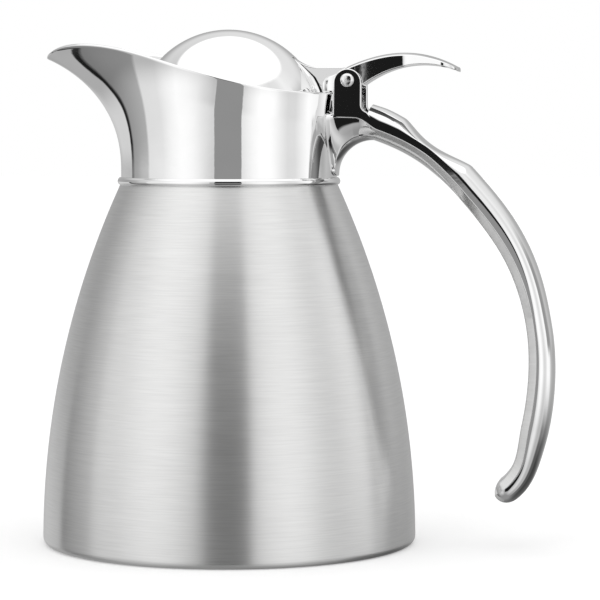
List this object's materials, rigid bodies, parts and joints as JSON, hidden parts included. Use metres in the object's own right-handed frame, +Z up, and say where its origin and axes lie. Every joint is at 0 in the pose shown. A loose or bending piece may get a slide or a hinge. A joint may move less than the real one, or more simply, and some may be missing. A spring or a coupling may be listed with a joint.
{
  "type": "thermal carafe with flip lid",
  "caption": "Double-walled steel carafe with a polished pour collar, a long cast handle, and a domed lid that a thumb lever lifts about a cross pin.",
  "frame": {"origin": "middle of the base, on the surface that the carafe stands on", "axes": "+Z up, the spout towards -X and the handle towards +X, the hinge pin along Y"},
  "size_m": [0.1578, 0.115, 0.1576],
  "materials": {
    "brushed_body": "horizontal hairline brushing",
    "polished_steel": "mirror polish",
    "polished_cast": "mirror polish on a casting",
    "liner_steel": "satin",
    "screw_steel": "polished",
    "getter": "matte sintered",
    "rubber_pad": "matte",
    "silicone": "matte",
    "nylon": "matte",
    "foam": "matte cellular",
    "black_plastic": "fine matte"
  },
  "bodies": {
    "carafe": {"outer_shell": "brushed_body", "inner_liner": "liner_steel", "base_plate": "liner_steel", "getter_pellet": "getter", "vacuum_seal": "liner_steel", "base_pad": "rubber_pad", "pour_collar": "polished_steel", "seat_ring": "liner_steel", "neck_gasket": "silicone", "handle": "polished_cast", "handle_screws": "screw_steel", "screw_seals": "silicone", "hinge_pin": "screw_steel", "hinge_washers": "nylon"},
    "lid": {"lid_dome": "polished_steel", "lid_plate": "liner_steel", "lid_insulation": "foam", "plug_body": "black_plastic", "lid_gasket": "silicone", "plug_screw": "screw_steel", "thumb_lever": "polished_cast", "lever_rivet": "screw_steel", "hinge_bush": "nylon"}
  },
  "joints": [
    {"name": "lid_hinge", "type": "hinge", "parent": "carafe", "child": "lid", "pos_m": [0.0376, 0, 0.142], "axis": [0, 1, 0], "range_deg": [0, 38]}
  ]
}
